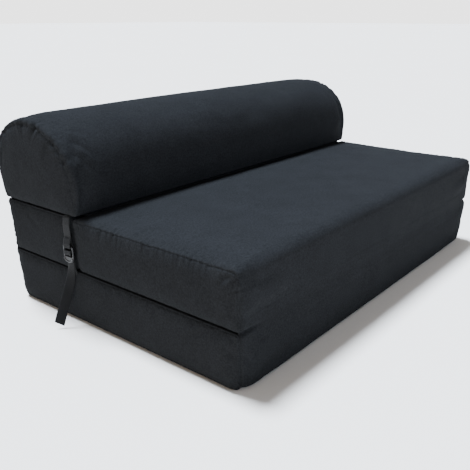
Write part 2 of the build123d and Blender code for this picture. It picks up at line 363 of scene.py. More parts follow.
def make_cover(name, spec, dense, targets, low, high):
    """Closed cover of one section as a cage of rings along X, closed by a panel at each end. The outline
    is dense; each of its points meets the nearest of targets, the points in the panel's middle."""
    outline, run, total = resample(dense, spec["step"], [spec["zip_z"] + row for row in ZIP_ROWS])
    count = len(outline)
    tangent = np.roll(outline, -1, 0) - np.roll(outline, 1, 0)
    tangent /= np.linalg.norm(tangent, axis=1)[:, None]
    out = np.stack([-tangent[:, 1], tangent[:, 0]], axis=1)
    scale = edge_scale(name, outline, low, high)
    target_of = np.abs(outline[:, 0][:, None] - targets[:, 0][None, :]).argmin(axis=1)
    half = half_rings(*spec["roll"], spec["taper"])
    seam_inset = spec["taper"] + spec["roll"][1]
    rings = [(-x, inset, share) for x, inset, share in reversed(half)] + half[1:]
    verts, home, seam = [], [], []
    middle = targets[target_of]
    for x, inset, share in rings:
        ring = outline - out * (inset * scale)[:, None]
        reach = np.linalg.norm(middle - ring, axis=1)
        ring = ring + (middle - ring) * share
        if share > 0:
            distance = -share * reach
        else:
            distance = np.full(count, (HALF - abs(x)) + (seam_inset - inset) * 0.6)
        verts += [(x, y, z) for y, z in ring]
        home += list(outline)
        seam += list(distance)
    faces, uvs = [], []
    run_next = np.append(run[1:], total)
    for i in range(len(rings) - 1):
        on_panel = rings[i][2] > 0 or rings[i + 1][2] > 0
        for j in range(count):
            k = (j + 1) % count
            quad = (i * count + j, (i + 1) * count + j, (i + 1) * count + k, i * count + k)
            faces.append(quad)
            if on_panel:
                uvs += [verts[q][1:] for q in quad]
            else:
                x0, x1 = rings[i][0], rings[i + 1][0]
                uvs += [(x0, run[j]), (x1, run[j]), (x1, run_next[j]), (x0, run_next[j])]
    for ring, x in ((0, -HALF), (len(rings) - 1, HALF)):
        base = len(verts)
        for target in targets:
            verts.append((x, target[0], target[1]))
            home.append(target)
            seam.append(-0.07)
        for j in range(count):
            k = (j + 1) % count
            a, b = target_of[j], target_of[k]
            face = [ring * count + j, ring * count + k, base + b]
            if a != b:
                face.append(base + a)
            if ring == 0:
                face.reverse()
            faces.append(tuple(face))
            uvs += [verts[q][1:] for q in face]
    obj = make_mesh(f"{name}_cover", verts, faces, uvs)
    home = np.array(home)
    attribute(obj, "home_y", home[:, 0])
    attribute(obj, "home_z", home[:, 1])
    attribute(obj, "seam", seam)
    outward_faces(obj)
    return obj


def slab_middle(front, rear, low, high):
    """Points along the middle of a slab's end panel."""
    reach = (high - low) * 0.42
    count = max(2, int((rear - front - 2 * reach) / 0.02))
    return np.stack([np.linspace(front + reach, rear - reach, count),
                     np.full(count, (low + high) / 2)], axis=1)


def round_plan_corner(co, face, radius_low, radius_high, low, high, inward=1):
    """Round the upright corners in plan, more at the bottom than at the top. inward: the way from the
    face into the section along Y."""
    level = ease(co[:, 2], low, high)
    radius = radius_low + (radius_high - radius_low) * level
    u = np.clip(radius - (HALF - np.abs(co[:, 0])), 0, None)
    v = np.clip(radius - inward * (co[:, 1] - face), 0, None)
    ratio = np.maximum(u, v) / np.maximum(np.hypot(u, v), 1e-9)
    inside = (u > 0) & (v > 0)
    co[:, 0] = np.where(inside, np.sign(co[:, 0]) * (HALF - (radius - u * ratio)), co[:, 0])
    co[:, 1] = np.where(inside, face + inward * (radius - v * ratio), co[:, 1])
    return co


def inflate(obj, pinned, cap, pressure=4.0, frames=20, slack=-0.012):
    """Cloth simulation: the cover swells between its pinned seams, no point moving beyond its cap."""
    start = coords(obj)
    group = obj.vertex_groups.new(name="held")
    for index in np.nonzero(pinned > 0)[0]:
        group.add([int(index)], float(pinned[index]), "REPLACE")
    cloth = obj.modifiers.new("cloth", "CLOTH")
    fabric = dict(vertex_group_mass="held", quality=6, mass=0.3, tension_stiffness=40,
                  compression_stiffness=40, shear_stiffness=15, bending_stiffness=0.6, air_damping=4,
                  use_pressure=True, uniform_pressure_force=pressure, shrink_min=slack)
    for key, value in fabric.items():
        setattr(cloth.settings, key, value)
    cloth.settings.effector_weights.gravity = 0
    cloth.point_cache.frame_start = 1
    cloth.point_cache.frame_end = frames
    scene = bpy.context.scene
    for number in range(1, frames + 1):
        scene.frame_set(number)
    graph = bpy.context.evaluated_depsgraph_get()
    result = obj.evaluated_get(graph).to_mesh()
    moved = read_vectors(result.vertices, "co")
    obj.modifiers.remove(cloth)
    scene.frame_set(1)
    travel = moved - start
    size = np.linalg.norm(travel, axis=1)
    keep = np.minimum(1.0, cap / np.maximum(size, 1e-9))
    set_coords(obj, start + travel * keep[:, None])
    obj.vertex_groups.clear()


def crease(co, normal, line, depth, width, lip=0.5):
    """Sink a fold line into the surface along a run of points on it, with a raised lip beside it."""
    count = len(line)
    nearest = np.full(len(co), 1e9)
    share = np.zeros(len(co))
    offset = np.zeros_like(co)
    close = np.linalg.norm(co - line.mean(axis=0), axis=1) < lengths(line)[-1] * 0.6 + 8 * width
    at = np.nonzero(close)[0]
    for k, point in enumerate(line):
        gap = co[at] - point
        size = np.linalg.norm(gap, axis=1)
        better = size < nearest[at]
        nearest[at[better]] = size[better]
        share[at[better]] = k / (count - 1)
        offset[at[better]] = gap[better]
    along = np.gradient(line, axis=0)
    along /= np.linalg.norm(along, axis=1)[:, None]
    heading = along[np.round(share * (count - 1)).astype(int)]
    side = np.cross(heading, normal)
    signed = np.einsum("ij,ij->i", offset, side)
    fade = np.sin(np.pi * np.clip(share, 0, 1)) ** 0.6
    shape = -np.exp(-(signed / width) ** 2)
    shape += lip * np.exp(-((signed - 1.9 * width) / (1.4 * width)) ** 2)
    shape *= np.exp(-(np.clip(nearest - np.abs(signed), 0, None) / width) ** 2) * (nearest < 5 * width)
    return normal * (shape * fade * depth)[:, None]


def fold_lines(obj, lines):
    """Creases between pairs of points, each drawn over the cover's surface."""
    finder = surface_finder(obj)
    co = coords(obj)
    normal = normals(obj)
    move = np.zeros_like(co)
    for start, end, bow, depth, width in lines:
        start, end = np.array(start, float), np.array(end, float)
        shares = np.linspace(0, 1, 40)
        chord = start + shares[:, None] * (end - start)
        chord[:, 2] += bow * np.sin(np.pi * shares)
        line = np.array([finder.find_nearest(Vector(q))[0] for q in chord], float)
        move += crease(co, normal, line, depth, width)
    set_coords(obj, co + move)


# Each section's cover: step of the cage round the section; how far the edge by the end panel rolls along
# X and inwards; how much the wrap tapers to its ends; radii as in slab_outline; how far each face crowns
# (right: times as much on the right end); corner: plan radii of the upright corners, front low, front
# high and rear; seed of its noise; height of its wrinkles; height of its zip.
SLAB = dict(step=0.0076, roll=(0.008, 0.007), taper=0.001, wrinkles=0.0022)
SECTIONS = {
    "base": dict(
        SLAB, radii=(0.018, 0.016, 0.010, 0.028), corner=(0.044, 0.014, 0.020), seed=1, zip_z=0.045,
        crown=dict(front=0.0030, rear=0.0040, top=0.0003, bottom=0.0, end=0.0030, right=1.0)),
    "seat": dict(
        SLAB, radii=(0.016, 0.019, 0.015, 0.016), corner=(0.010, 0.009, 0.003), seed=2, zip_z=0.213,
        crown=dict(front=0.0030, rear=0.0020, top=0.0042, bottom=0.0003, end=0.0030, right=2.0)),
    "back": dict(
        SLAB, radii=(0.012, 0.007, 0.006, 0.010), corner=(0.010, 0.010, 0.012), seed=3, zip_z=0.213,
        crown=dict(front=0.0018, rear=0.0030, top=0.0003, bottom=0.0003, end=0.0030, right=1.0)),
    "bolster": dict(
        step=0.0074, roll=(0.013, 0.013), taper=0.006, wrinkles=0.0040, corner=None, seed=4, zip_z=0.322,
        crown=dict(front=0.0, rear=0.0, top=0.0035, bottom=0.0003, end=0.0060, right=1.0)),
}

# Fold lines: from, to, bow upwards, depth and width.
FOLDS = {
    "base": [
        ((-0.60, -0.33, 0.125), (-0.60, -0.26, 0.085), 0.004, 0.0016, 0.006),
        ((-0.575, -0.42, 0.060), (-0.545, -0.42, 0.110), 0.0, 0.0016, 0.006),
    ],
    "seat": [
        ((-0.592, -0.41, 0.262), (-0.592, -0.41, 0.205), 0.0, 0.0020, 0.005),
        ((-0.60, -0.395, 0.272), (-0.60, -0.36, 0.240), 0.0, 0.0018, 0.005),
        ((-0.585, -0.30, 0.283), (-0.545, -0.26, 0.283), 0.0, 0.0012, 0.006),
        ((-0.585, -0.12, 0.283), (-0.535, -0.10, 0.283), 0.0, 0.0012, 0.006),
    ],
    "back": [
        ((-0.60, 0.30, 0.262), (-0.60, 0.24, 0.225), 0.0, 0.0014, 0.007),
    ],
    "bolster": [
        ((-0.578, 0.120, 0.468), (-0.515, 0.082, 0.405), 0.006, 0.0020, 0.0048),
        ((-0.582, 0.100, 0.440), (-0.540, 0.078, 0.380), 0.004, 0.0016, 0.0045),
        ((-0.570, 0.150, 0.485), (-0.500, 0.105, 0.448), 0.006, 0.0014, 0.0050),
        ((-0.250, 0.190, 0.495), (-0.215, 0.110, 0.455), 0.004, 0.0016, 0.0055),
        ((-0.120, 0.200, 0.497), (-0.080, 0.120, 0.462), 0.004, 0.0018, 0.0055),
        ((-0.090, 0.180, 0.492), (-0.040, 0.105, 0.450), 0.004, 0.0016, 0.0055),
        ((0.300, 0.170, 0.490), (0.345, 0.100, 0.445), 0.004, 0.0015, 0.0060),
        ((0.540, 0.130, 0.470), (0.575, 0.090, 0.420), 0.003, 0.0022, 0.0055),
        ((-0.600, 0.160, 0.450), (-0.600, 0.180, 0.395), 0.0, 0.0016, 0.0060),
        ((-0.600, 0.360, 0.420), (-0.600, 0.385, 0.350), 0.0, 0.0022, 0.0060),
    ],
}

BOLSTER_FRONT = 0.0745        # the soft bolster bulges a little beyond its plain solid
BOLSTER_REAR = 0.4165
BOLSTER_SHOULDER = 0.350


def bolster_outline(low, high):
    """The arch, in the order of slab_outline, with a full front foot and a rear that draws in low down."""
    middle = (BOLSTER_FRONT + BOLSTER_REAR) / 2
    half = (BOLSTER_REAR - BOLSTER_FRONT) / 2
    rise = high - BOLSTER_SHOULDER
    dense = [(middle, low)]
    dense += bezier((0.104, low), (0.094, low), (0.0885, low + 0.002), (0.0855, low + 0.010), 12)
    dense += bezier((0.0855, low + 0.010), (0.0790, low + 0.030), (BOLSTER_FRONT, low + 0.045),
                    (BOLSTER_FRONT, BOLSTER_SHOULDER), 12)[1:]
    for angle in np.linspace(math.pi, 0, 60)[1:-1]:
        c, d = math.cos(angle), math.sin(angle)
        dense.append((middle + half * math.copysign(abs(c) ** 0.96, c), BOLSTER_SHOULDER + rise * d ** 0.96))
    dense += bezier((BOLSTER_REAR, BOLSTER_SHOULDER), (BOLSTER_REAR, low + 0.042),
                    (0.4095, low + 0.022), (0.3975, low + 0.003), 14)
    dense += bezier((0.3975, low + 0.003), (0.3960, low), (0.3940, low), (0.388, low), 8)[1:]
    return dense


RIPPLES = (0.0078, 0.0030)    # height of the coarse and fine gathers along the end seams
SEAM_WIDTH = 0.0028
SEAM_DEPTH = 0.0014


def finish_cover(obj, name, spec, low, high, front, rear):
    """Bulges, gathers along the end seams, wrinkles and the zip's slot, on the subdivided mesh."""
    co = coords(obj)
    normal = normals(obj)
    home = np.stack([attribute(obj, "home_y"), attribute(obj, "home_z")], axis=1)
    seam = attribute(obj, "seam")
    seed = spec["seed"]
    on_panel = seam < 0
    lengthwise = np.clip(1 - (np.abs(co[:, 0]) / HALF) ** 6, 0, 1)
    y = np.clip((home[:, 0] - front) / (rear - front), 0, 1)
    z = np.clip((home[:, 1] - low) / (high - low), 0, 1)
    depth = rear - front
    height = high - low
    crown = spec["crown"]
    across_y = 1 - np.abs(2 * y - 1) ** (2 + 20 * depth)
    across_z = 1 - np.abs(2 * z - 1) ** (2 + 4 * height)
    up = np.clip(normal[:, 2], 0, 1)
    down = np.clip(-normal[:, 2], 0, 1)
    ahead = np.clip(-normal[:, 1], 0, 1)
    behind = np.clip(normal[:, 1], 0, 1)
    bulge = (crown["top"] * up * across_y + crown["bottom"] * down * across_y
             + crown["front"] * ahead * across_z + crown["rear"] * behind * across_z) * lengthwise
    bulge[on_panel] = 0
    inward = np.clip(-seam / (0.45 * height), 0, 1)
    end_crown = crown["end"] * np.where(co[:, 0] > 0, crown["right"], 1.0)
    bulge += np.where(on_panel, end_crown * np.sin(0.5 * np.pi * inward), 0)

    exposed = np.clip(crown["top"] * up / 0.004 + ahead + 0.6 * behind + on_panel * 0.8, 0, 1)
    if name == "bolster":
        exposed = np.clip(1.2 * (co[:, 2] - low - 0.012) / 0.05, 0, 1)
    broad = field(co, 5.0, seed) * 0.0012 + field(co, 13.0, seed + 10) * 0.0006
    bulge += broad * exposed

    along = np.stack([np.sign(co[:, 0]) * 3, home[:, 0], home[:, 1]], axis=1)
    fine = field(along, 80.0, seed + 20)
    finer = field(along, 105.0, seed + 30)
    gather = field(along, 9.0, seed + 40)
    curved = 1.0 if name != "bolster" else 0.5 + ease(home[:, 1], low + 0.05, low + 0.17)
    strength = (0.6 + 1.1 * np.clip(gather + 0.2, 0, 1)) * curved
    reach = 0.020 + 0.016 * (0.5 + 0.5 * field(along, 31.0, seed + 50))
    fall = np.where(on_panel, np.exp(-np.abs(seam) / 0.012), np.exp(-np.abs(seam) / (0.7 * reach)))
    ripple = (0.28 - np.abs(fine)) * RIPPLES[0] + (0.28 - np.abs(finer)) * RIPPLES[1]
    upper = ease(home[:, 1], low + 0.35 * height, low + 0.75 * height)
    amount = (0.40 + 0.72 * upper) if name in ("seat", "bolster") else 0.40
    bulge += ripple * strength * fall * amount * np.clip(exposed + 0.25, 0, 1)
    bulge -= np.exp(-(seam / SEAM_WIDTH) ** 2) * SEAM_DEPTH

    stretched = np.stack([co[:, 0] * 3.4, co[:, 1], co[:, 2]], axis=1)
    drift = field(co, 6.0, seed + 60)
    stretched[:, 0] += 0.16 * drift
    wrinkle = np.clip(0.22 - np.abs(field(stretched, 14.0, seed + 70)), 0, 1)
    patches = ease(field(co, 4.2, seed + 80), -0.05, 0.45)
    bulge += np.where(on_panel, 0, wrinkle * patches * spec["wrinkles"] * exposed)

    co += normal * bulge[:, None]
    set_coords(obj, co)

    sink_zip(obj, spec["zip_z"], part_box(f"{name}_wrap")[1].y,
             (normal[:, 1] > 0.35) & ~on_panel & (home[:, 0] > (front + rear) / 2))


def sink_zip(obj, zip_z, face_y, rear_side):
    """Level the rear face beside the zip, and open the slot between two raised lips."""
    co = coords(obj)
    reach = np.abs(co[:, 2] - zip_z)
    x = np.abs(co[:, 0])
    slot_span = 1 - ease(x, ZIP_HALF - 0.001, ZIP_HALF + 0.003)
    level = (1 - ease(reach, 0.0080, 0.0300)) * rear_side
    level_span = 1 - ease(x, ZIP_HALF + 0.004, ZIP_HALF + 0.030)
    co[:, 1] += (face_y - co[:, 1]) * level * level_span
    lip_height, lip_at, lip_width, slot_depth = 0.0006, 0.0054, 0.0011, 0.0032
    lip = lip_height * np.exp(-((reach - lip_at) / lip_width) ** 2)
    sink = slot_depth * (1 - ease(reach, 0.0036, 0.0048))
    co[:, 1] += (lip - sink) * rear_side * slot_span
    set_coords(obj, co)


def edge_scale(name, outline, low, high):
    """How far the end seam stands in, by where it is round the section: little where sections meet."""
    y, z = outline[:, 0], outline[:, 1]
    if name == "bolster":
        return (0.12 + 0.95 * ease(z, low.z + 0.003, low.z + 0.05)
                - 0.28 * ease(z, low.z + 0.10, high.z))
    share = np.ones(len(outline))
    if name in ("base", "back"):
        share -= 0.6 * ease(z, high.z - 0.02, high.z - 0.002)
    if name in ("seat", "back"):
        share -= 0.6 * ease(-z, -low.z - 0.02, -low.z - 0.002)
    if name == "seat":
        share -= 0.8 * ease(y, high.y - 0.02, high.y - 0.002)
    if name == "back":
        share -= 0.8 * ease(-y, -low.y - 0.02, -low.y - 0.002)
    return np.clip(share, 0.12, 1)


def flatten_under_pull(obj, face_y, zip_z, reach=0.040, proud=0.0014):
    """Keep the rear face flat where the zip's pull tab lies on it, up or down."""
    co = coords(obj)
    sideways = (np.abs(co[:, 0]) - SLIDER_PARK) / reach
    upwards = (co[:, 2] - zip_z) / reach
    near = np.exp(-sideways ** 4 - upwards ** 4)
    co[:, 1] -= np.clip(co[:, 1] - face_y - proud, 0, None) * near
    set_coords(obj, co)


# Near its ends each section's face stands out a little further than between them, along Y by this sign
# and distance. Only the bolster's rear draws in, from its foot upwards.
END_FROM, END_TO = 0.545, 0.585
END_REACH = {"base": (1, 0.0040), "seat": (1, 0.0050), "back": (-1, 0.0010), "bolster": (1, -0.0095)}

# The foam settles the sections a little closer together: how far each foot and top gives.
SETTLE = {"base": (0.0, 0.0008), "seat": (-0.0008, 0.0), "back": (-0.0008, 0.0008),
          "bolster": (-0.0011, 0.0)}
SWELL = 0.0035            # how far the simulation may move a point of the cover
SWELL_HELD = 0.0003       # the same where sections press on each other
SEAM_HELD = 0.0035        # the cover is pinned this near to its end seams
ZIP_HELD = 0.012          # and this near to its zip

covers = {}
for name, spec in SECTIONS.items():
    low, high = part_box(f"{name}_wrap")
    low.z += SETTLE[name][0]
    high.z += SETTLE[name][1]
    if name == "bolster":
        dense = bolster_outline(low.z, high.z)
        front, rear = BOLSTER_FRONT, BOLSTER_REAR
        targets = np.array([((front + rear) / 2, (low.z + high.z) / 2)])
    else:
        dense = slab_outline(low.y, high.y, low.z, high.z, spec["radii"])
        front, rear = low.y, high.y
        targets = slab_middle(front, rear, low.z, high.z)
    cover = make_cover(name, spec, dense, targets, low, high)
    co = coords(cover)
    sign, reach = END_REACH[name]
    edge = high.y if sign > 0 else low.y
    past = ease(sign * co[:, 1], sign * edge - 0.05, sign * edge)
    if name == "bolster":
        past *= 1 - ease(co[:, 2], low.z + 0.008, low.z + 0.060)
    co[:, 1] += sign * reach * past * ease(np.abs(co[:, 0]), END_FROM, END_TO)
    set_coords(cover, co)
    if spec["corner"]:
        front_low, front_high, rear_radius = spec["corner"]
        co = round_plan_corner(co, front, front_low, front_high, low.z, high.z)
        co = round_plan_corner(co, rear, rear_radius, min(rear_radius, 0.010), low.z, high.z, inward=-1)
        set_coords(cover, co)
    seam = attribute(cover, "seam")
    normal = normals(cover)
    rear_zip = (np.abs(co[:, 2] - spec["zip_z"]) < ZIP_HELD) & (normal[:, 1] > 0.4)
    pinned = np.where(np.abs(seam) < SEAM_HELD, 1.0, 0.0)
    pinned[rear_zip] = 1.0
    cap = np.full(len(co), SWELL)
    cap[np.abs(normal[:, 2]) > 0.5] = SWELL_HELD
    if name in ("seat", "bolster"):
        cap[normal[:, 2] > 0.5] = SWELL
    inflate(cover, pinned, cap)
    smooth = cover.modifiers.new("smooth", "SUBSURF")
    smooth.levels = smooth.render_levels = 1
    bake_modifiers(cover)
    finish_cover(cover, name, spec, low.z, high.z, front, rear)
    fold_lines(cover, FOLDS[name])
    flatten_under_pull(cover, high.y, spec["zip_z"])
    covers[name] = cover
    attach(cover, name)
    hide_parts(f"{name}_wrap", f"{name}_foam", f"{name}_left_end", f"{name}_right_end")
    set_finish(cover, "cover_cloth")


# ---------------------------------------------------------------- fabric hinges
LAYER_Z = 0.143           # middle of the gap over the base
HINGE_REACH = 0.032       # how far the cloth runs up and down from there
HINGE_END_GAP = 0.004     # from the cloth's ends to the sections' ends
HINGE_CLOTH = 0.0005      # its thickness
SLOPE_CARRIED = 0.7       # how much of the covers' slopes the cloth takes over the gap


def face_hinge(name, lower, upper, direction, dip, reach=HINGE_REACH, columns=200):
    """Cloth that carries one section's face over the layer gap to the next one, flush with both.
    dip: how deep it tucks into the gap at each x."""
    finders = {-1: surface_finder(covers[lower]), 1: surface_finder(covers[upper])}
    hugging = [reach + 0.002, reach, reach - 0.004, reach - 0.008, reach - 0.012]
    proud = dict(zip(hugging, (-0.0009, -0.00010, 0.00006, 0.00012, 0.00015)))
    inner = reach - 0.015
    heights = [-h for h in hugging] + list(np.linspace(-inner, inner, 15)) + hugging[::-1]
    xs = np.linspace(-HALF + HINGE_END_GAP, HALF - HINGE_END_GAP, columns)

    def surface(x, offset):
        origin = Vector((x, direction, LAYER_Z + offset))
        return finders[1 if offset > 0 else -1].ray_cast(origin, Vector((0, -direction, 0)))[0].y

    verts, uvs, faces = [], [], []
    rows = len(heights)
    for x in xs:
        low_y, high_y = surface(x, -inner), surface(x, inner)
        low_slope = (low_y - surface(x, -inner - 0.004)) / 0.004
        high_slope = (surface(x, inner + 0.004) - high_y) / 0.004
        for offset in heights:
            if abs(offset) > inner + 1e-6:
                y = surface(x, offset)
            else:
                t = (offset / inner + 1) / 2
                h00, h10 = 2 * t ** 3 - 3 * t ** 2 + 1, t ** 3 - 2 * t ** 2 + t
                h01, h11 = -2 * t ** 3 + 3 * t ** 2, t ** 3 - t ** 2
                y = (h00 * low_y + h01 * high_y
                     + SLOPE_CARRIED * 2 * inner * (h10 * low_slope + h11 * high_slope))
            y += direction * proud.get(abs(offset), 0.00016)
            y -= direction * dip(x) * math.exp(-(offset / 0.0055) ** 2)
            verts.append((x, y, LAYER_Z + offset))
    for i in range(len(xs) - 1):
        for j in range(rows - 1):
            quad = (i * rows + j, (i + 1) * rows + j, (i + 1) * rows + j + 1, i * rows + j + 1)
            faces.append(quad)
            uvs += [(verts[q][0], verts[q][2]) for q in quad]
    obj = make_mesh(name, verts, faces, uvs)
    solid = obj.modifiers.new("thick", "SOLIDIFY")
    solid.thickness = HINGE_CLOTH
    solid.offset = 0.0
    bake_modifiers(obj)
    outward_faces(obj)
    return obj


def front_dip(x):
    """The front cloth tucks into the layer gap near the ends, more at the left."""
    left = 0.0085 * (1 - float(ease(x + HALF, 0.010, 0.085)))
    right = 0.0060 * (1 - float(ease(HALF - x, 0.006, 0.045)))
    return 0.0004 + left + right


def rear_dip(x):
    return 0.0015


front_cloth = face_hinge("front_hinge_cloth", "base", "seat", -1, front_dip)
rear_cloth = face_hinge("rear_hinge_cloth", "base", "back", 1, rear_dip)
for cloth, upper, y in ((front_cloth, "seat", -0.416), (rear_cloth, "back", 0.391)):
    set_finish(cloth, "cover_cloth")
    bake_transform(cloth)
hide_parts("front_hinge")
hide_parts("rear_hinge")

# The strip under the bolster: back along its lower layer, round the fold in front, and in again.
flap_low, flap_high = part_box("bolster_hinge")
fold_y = flap_low.y + 0.0020
fold_z = (flap_low.z + flap_high.z) / 2
flap_ys = [flap_high.y + (fold_y - flap_high.y) * share for share in np.linspace(0, 1, 8)]
flap_path = [(0, y, flap_low.z + 0.0005) for y in flap_ys]
for angle in np.radians(np.linspace(20, 160, 6)):
    flap_path.append((0, fold_y - 0.0013 * math.sin(angle), fold_z - 0.0010 * math.cos(angle)))
flap_path += [(0, y, flap_high.z - 0.0005) for y in reversed(flap_ys)]
flap_path = np.array(flap_path)
flap_width = flap_high.x - flap_low.x
flap = ribbon("bolster_hinge_cloth", flap_path, np.tile((1.0, 0, 0), (len(flap_path), 1)),
              width=flap_width, thick=0.0007, columns=60)
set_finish(flap, "cover_cloth")
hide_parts("bolster_hinge")
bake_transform(flap)


# ---------------------------------------------------------------- straps and buckles
BUCKLE_OUT = 0.009        # the buckle's middle from the end panel
TOP_BAR = 0.208           # heights of the buckle's parts
GRIP_BAR = 0.193
LIP_TOP = 0.184
BUCKLE_LOW = 0.167
BUCKLE_HALF = 0.0176      # half its width
BUCKLE_RAIL = 0.0150      # each side rail's middle from the buckle's
LIP_RISE = 0.0105         # the lip's lower edge rises this much to its sides
LIP_STEPS = 18
TILT = math.radians(5)    # turn of the buckle and its webbing about the upright


def rounded_path(points, radii, step=0.0007):
    """A line through the points in (out, z) with an arc at each inner corner."""
    points = [np.array(p, float) for p in points]
    line = [points[0]]
    for before, here, after, radius in zip(points, points[1:], points[2:], radii):
        into = (here - before) / np.linalg.norm(here - before)
        away = (after - here) / np.linalg.norm(after - here)
        half_turn = math.acos(max(-1, min(1, float(into @ away)))) / 2
        cut = radius * math.tan(half_turn)
        a, b = here - into * cut, here + away * cut
        for t in np.linspace(0, 1, 7):
            line.append((1 - t) ** 2 * a + 2 * t * (1 - t) * here + t ** 2 * b)
    line.append(points[-1])
    flat = np.array(line)
    return even_path(np.column_stack([flat, np.zeros(len(flat))]), step)[:, :2]


def place(path, side):
    return np.array([(side * (HALF + out), STRAP_Y, z) for out, z in path])


def make_buckle(name, side):
    """Moulded ladder lock: frame, grip bar and a rounded lip that stands outwards, fused and smoothed."""
    shape = bmesh.new()

    def rod(a, b, radius, squeeze=1.0):
        a, b = Vector(a), Vector(b)
        made = bmesh.ops.create_cone(shape, cap_ends=True, segments=20, radius1=radius, radius2=radius,
                                     depth=(b - a).length)["verts"]
        turn = (b - a).to_track_quat("Z", "Y").to_matrix()
        for v in made:
            p = turn @ v.co
            p.x *= squeeze
            v.co = p + (a + b) / 2

    def lip_z(share):
        """Height of the lip's round lower edge, by the share of the way from its middle to its side."""
        return LIP_RISE * (1 - math.sqrt(max(0.0, 1 - (share * 0.985) ** 2)))

    for sign in (-1, 1):
        rod((0, sign * BUCKLE_RAIL, TOP_BAR + 0.0006),
            (0.0006, sign * BUCKLE_RAIL, BUCKLE_LOW + 0.013), 0.0025, 0.9)
    rod((0, -BUCKLE_RAIL, TOP_BAR), (0, BUCKLE_RAIL, TOP_BAR), 0.0023)
    rod((0.0002, -BUCKLE_RAIL, GRIP_BAR), (0.0002, BUCKLE_RAIL, GRIP_BAR), 0.0021)
    shares = [-1 + 2 * k / LIP_STEPS for k in range(LIP_STEPS + 1)]
    for share in shares:
        y = share * (BUCKLE_HALF - 0.0026)
        rod((0.0002, y, LIP_TOP - 0.0020), (0.0018, y, BUCKLE_LOW + 0.0025 + lip_z(share)), 0.0024, 0.9)
    ridge = [(0.0022, share * (BUCKLE_HALF - 0.0030), BUCKLE_LOW + 0.0028 + lip_z(share))
             for share in shares]
    for a, b in zip(ridge, ridge[1:]):
        rod(a, b, 0.0028)
    mesh = bpy.data.meshes.new(name)
    shape.to_mesh(mesh)
    shape.free()
    obj = add_object(name, mesh)
    melt = obj.modifiers.new("melt", "REMESH")
    melt.mode = "VOXEL"
    melt.voxel_size = 0.00055
    soft = obj.modifiers.new("soft", "SMOOTH")
    soft.factor = 0.6
    soft.iterations = 5
    bake_modifiers(obj)
    out, across, z = coords(obj).T
    x = out * math.cos(TILT) + across * math.sin(TILT)
    y = across * math.cos(TILT) - out * math.sin(TILT)
    set_coords(obj, np.column_stack([side * (HALF + BUCKLE_OUT + x), STRAP_Y + y, z]))
    obj.data.polygons.foreach_set("use_smooth", [True] * len(obj.data.polygons))
    if side < 0:
        outward_faces(obj)
    return obj


# Routes in (out from the end panel, height): up from the base round the grip bar, and down from the
# bolster round the top bar; then the radii at their corners.
LOWER_ROUTE = [(0.0009, 0.125), (0.0009, 0.137), (0.0032, 0.149), (0.0040, 0.1975), (0.0133, 0.1990),
               (0.0133, 0.1880), (0.0056, 0.1870), (0.0053, 0.1835)]
LOWER_RADII = [0.012, 0.02, 0.0018, 0.0020, 0.0020, 0.0016]
UPPER_ROUTE = [(0.0008, 0.2832), (0.0030, 0.2790), (0.0060, 0.262), (0.0058, 0.2045), (0.0122, 0.2045),
               (0.0122, 0.2150), (0.0078, 0.2300)]
UPPER_RADII = [0.003, 0.02, 0.0028, 0.0028, 0.004]
UPPER_TURN = math.radians(3)     # the upper webbing's turn where it leaves the bolster

for side_name, side in SIDES:
    path = place(rounded_path(LOWER_ROUTE, LOWER_RADII), side)
    turn = TILT * ease(path[:, 2], 0.140, 0.185)
    strap = webbing(f"{side_name}_lower_webbing", path, side, turn)
    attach(strap, "base")
    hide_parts(f"{side_name}_lower_strap")
    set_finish(strap, "webbing")
    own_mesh(strap)

    path = place(rounded_path(UPPER_ROUTE, UPPER_RADII), side)
    turn = UPPER_TURN + (TILT - UPPER_TURN) * ease(-path[:, 2], -0.268, -0.215)
    strap = webbing(f"{side_name}_upper_webbing", path, side, turn)
    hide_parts(f"{side_name}_upper_strap")
    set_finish(strap, "webbing")
    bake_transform(strap)

    patch_low, patch_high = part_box(f"{side_name}_strap_patch")
    patch_z = (patch_low.z + patch_high.z) / 2
    path = np.array([(x, STRAP_Y, patch_z + 0.0003 * math.sin(40 * x))
                     for x in np.linspace(patch_low.x, patch_high.x, 12)])
    patch = ribbon(f"{side_name}_patch_webbing", path, np.tile((0, 1.0, 0), (len(path), 1)))
    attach(patch, "bolster")
    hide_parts(f"{side_name}_strap_patch")
    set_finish(patch, "webbing")

    buckle = make_buckle(f"{side_name}_ladder_lock", side)
    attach(buckle, f"{side_name}_buckle")
    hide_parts(f"{side_name}_buckle")
    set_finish(buckle, "buckle_plastic")


# ---------------------------------------------------------------- zips
def make_coil(name, length, centre, pitch=0.0022):
    """Zip coil: rows of rounded teeth that mesh from above and below."""
    x0, y0, z0 = centre
    verts, faces = [], []
    count = int(length / pitch)
    profile = [(-0.0002, 0.45), (0.0012, 0.45), (0.0017, 0.25), (0.0017, -0.25), (0.0012, -0.45),
               (-0.0002, -0.45)]
    around = len(profile)
    for k in range(count):
        x = x0 - length / 2 + (k + 0.5) * pitch
        side = 1 if k % 2 else -1
        start = len(verts)
        for z, swell in ((-0.0006 * side, 0.8), (0.0004 * side, 1.0), (0.0015 * side, 0.9)):
            for y, share in profile:
                verts.append((x + share * pitch * swell, y0 - 0.0011 + y * swell, z0 + z))
        for layer in range(2):
            for j in range(around):
                a = start + layer * around + j
                b = start + layer * around + (j + 1) % around
                faces.append((a, b, b + around, a + around))
        faces.append(tuple(start + j for j in reversed(range(around))))
        faces.append(tuple(start + 2 * around + j for j in range(around)))
    obj = make_mesh(name, verts, faces, None, smooth=False)
    outward_faces(obj)
    return obj


for name, spec in SECTIONS.items():
    low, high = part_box(f"{name}_zip_coil")
    centre = (0, (low.y + high.y) / 2 + 0.0004, (low.z + high.z) / 2)
    coil = make_coil(f"{name}_teeth", high.x - low.x, centre)
    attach(coil, name)
    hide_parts(f"{name}_zip_coil")
    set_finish(coil, "zip_coil")


